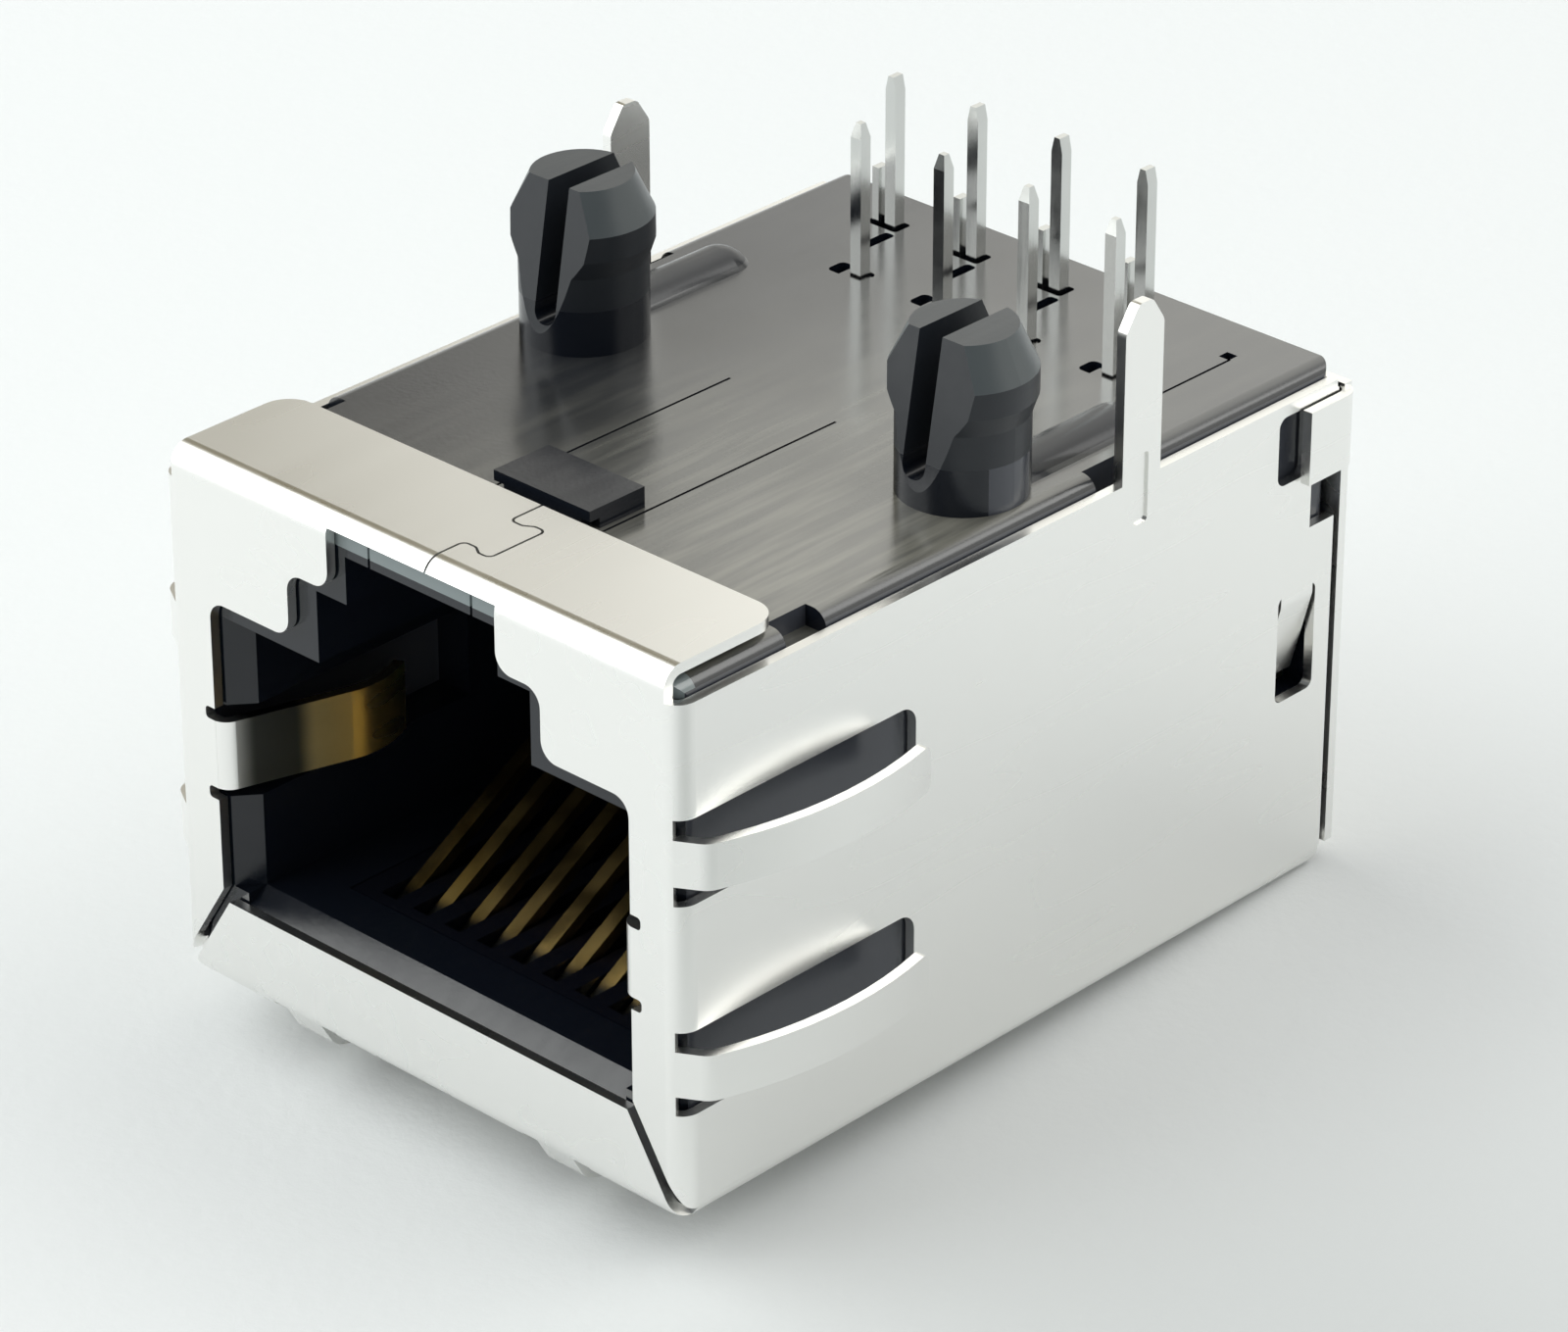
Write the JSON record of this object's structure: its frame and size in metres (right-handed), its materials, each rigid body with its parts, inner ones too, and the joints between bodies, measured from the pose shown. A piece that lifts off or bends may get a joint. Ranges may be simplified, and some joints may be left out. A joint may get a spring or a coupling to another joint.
{
  "type": "rj45 board jack",
  "caption": "Shielded modular network jack for a circuit board, with a stepped mouth, sprung contacts, snap posts, solder pins and ground tabs.",
  "frame": {"origin": "bottom centre of the jack's box as it lies on its roof, pins up", "axes": "+X across the mouth, +Y from the mouth to the back, +Z along the solder pins and posts"},
  "size_m": [0.018, 0.0216, 0.0179],
  "materials": {
    "shield_sheet": "satin tin or nickel plate",
    "housing_plastic": "moulded, slightly glossy",
    "insert_plastic": "moulded",
    "contact_gold": "gold plate",
    "pin_tin": "bright tin plate",
    "board_laminate": "solder mask",
    "ferrite": "sintered, matte",
    "magnet_wire": "enamelled",
    "chip_resistor": "glazed",
    "chip_capacitor": "ceramic"
  },
  "bodies": {
    "root": {"shield": "shield_sheet", "housing": "housing_plastic", "contact_carrier": "insert_plastic", "pin_base": "insert_plastic", "contact_1": "contact_gold", "contact_2": "contact_gold", "contact_3": "contact_gold", "contact_4": "contact_gold", "contact_5": "contact_gold", "contact_6": "contact_gold", "contact_7": "contact_gold", "contact_8": "contact_gold", "pin_1": "pin_tin", "pin_2": "pin_tin", "pin_3": "pin_tin", "pin_4": "pin_tin", "pin_5": "pin_tin", "pin_6": "pin_tin", "pin_7": "pin_tin", "pin_8": "pin_tin", "circuit_board": "board_laminate", "transformer_core_1": "ferrite", "transformer_core_2": "ferrite", "choke_core_1": "ferrite", "choke_core_2": "ferrite", "transformer_winding_1": "magnet_wire", "transformer_winding_2": "magnet_wire", "choke_winding_1": "magnet_wire", "choke_winding_2": "magnet_wire", "resistor_1": "chip_resistor", "resistor_2": "chip_resistor", "resistor_3": "chip_resistor", "resistor_4": "chip_resistor", "capacitor": "chip_capacitor"}
  },
  "joints": []
}
